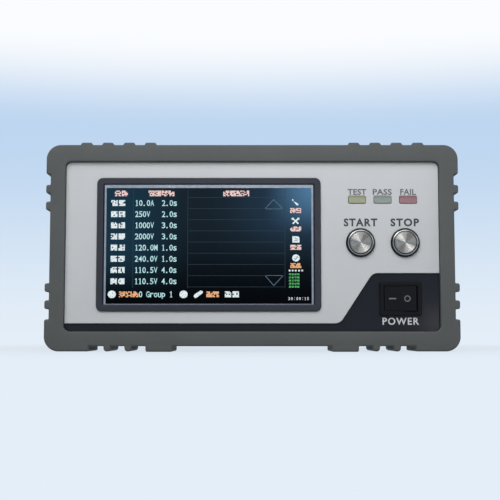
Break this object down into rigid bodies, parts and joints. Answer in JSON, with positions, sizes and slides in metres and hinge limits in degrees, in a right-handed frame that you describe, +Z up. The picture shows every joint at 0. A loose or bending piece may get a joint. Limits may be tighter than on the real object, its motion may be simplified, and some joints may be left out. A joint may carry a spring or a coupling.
{
  "type": "electrical safety tester",
  "caption": "Bench electrical safety tester: sheet-metal case between ribbed rubber bumpers, with a touch screen, start and stop buttons, indicator lamps and a rocker power switch.",
  "frame": {"origin": "middle of the footprint, on the surface that the bumpers' feet stand on", "axes": "+Z up; the front panel faces -Y; +X is to the right for a user who faces the screen"},
  "size_m": [0.311, 0.37, 0.1578],
  "materials": {
    "rubber": "moulded grey rubber, satin",
    "dark_panel": "dark blue-black plastic, semi-gloss",
    "light_panel": "light silver-grey printed plate, satin",
    "case_paint": "light grey powder coat on sheet steel",
    "zinc_steel": "zinc-plated steel",
    "stainless": "spun stainless steel",
    "black_plastic": "black moulded plastic, fine grain",
    "screen_glass": "lit touch screen under a smooth film",
    "lamp_yellow": "unlit yellow lens",
    "lamp_green": "unlit green lens",
    "lamp_red": "unlit red lens",
    "circuit_board": "green solder mask on glass-fibre board",
    "copper_winding": "taped copper winding on an iron ring",
    "transformer_core": "varnished iron laminations",
    "aluminium": "plain aluminium",
    "brass": "nickel-free brass",
    "red_plastic": "red moulded insulator",
    "fuse_glass": "glass tube fuse"
  },
  "bodies": {
    "case": {"front_bumper": "rubber", "rear_bumper": "rubber", "top_cover": "case_paint", "bottom_chassis": "zinc_steel", "rear_panel": "case_paint", "front_panel": "dark_panel", "fascia_plate": "light_panel", "display_bezel": "black_plastic", "display_frame": "zinc_steel", "touch_screen": "screen_glass", "display_board": "circuit_board", "test_lamp": "lamp_yellow", "pass_lamp": "lamp_green", "fail_lamp": "lamp_red", "lamp_board": "circuit_board", "power_switch_body": "black_plastic", "fan_guard": "zinc_steel", "fan_frame": "black_plastic", "inlet_housing": "black_plastic", "serial_port": "zinc_steel", "handler_port": "zinc_steel", "usb_port": "zinc_steel", "lan_port": "zinc_steel", "earth_stud": "brass", "earth_nut": "zinc_steel", "main_board": "circuit_board", "control_board": "circuit_board", "mains_transformer": "copper_winding", "transformer_clamp": "zinc_steel", "hv_transformer": "transformer_core", "power_supply": "aluminium", "heat_sink": "aluminium", "start_button_housing": "stainless", "start_button_nut": "brass", "start_button_contacts": "black_plastic", "stop_button_housing": "stainless", "stop_button_nut": "brass", "stop_button_contacts": "black_plastic", "high_socket": "red_plastic", "high_socket_nut": "brass", "return_socket": "black_plastic", "return_socket_nut": "brass", "bond_drive_socket": "red_plastic", "bond_drive_socket_nut": "brass", "bond_sense_socket": "black_plastic", "bond_sense_socket_nut": "brass", "live_socket": "red_plastic", "live_socket_nut": "brass", "neutral_socket": "black_plastic", "neutral_socket_nut": "brass"},
    "start_button": {"start_button_cap": "stainless"},
    "stop_button": {"stop_button_cap": "stainless"},
    "rocker": {"power_rocker": "black_plastic"},
    "fan": {"fan_rotor": "black_plastic"},
    "drawer": {"fuse_drawer": "black_plastic", "fuse_live": "fuse_glass", "fuse_neutral": "fuse_glass"}
  },
  "joints": [
    {"name": "start_press", "type": "slide", "parent": "case", "child": "start_button", "axis": [0, 1, 0], "range_m": [0, 0.0025], "stiffness_N_per_m": 900, "springref_m": -0.001},
    {"name": "stop_press", "type": "slide", "parent": "case", "child": "stop_button", "axis": [0, 1, 0], "range_m": [0, 0.0025], "stiffness_N_per_m": 900, "springref_m": -0.001},
    {"name": "power_rock", "type": "hinge", "parent": "case", "child": "rocker", "pos_m": [0.1113, -0.1806, 0.0398], "axis": [0, 0, 1], "range_deg": [0, 13]},
    {"name": "fan_spin", "type": "hinge", "parent": "case", "child": "fan", "pos_m": [-0.082, 0.16, 0.09], "axis": [0, 1, 0], "continuous": true},
    {"name": "fuse_drawer_slide", "type": "slide", "parent": "case", "child": "drawer", "axis": [0, 1, 0], "range_m": [0, 0.022]}
  ]
}
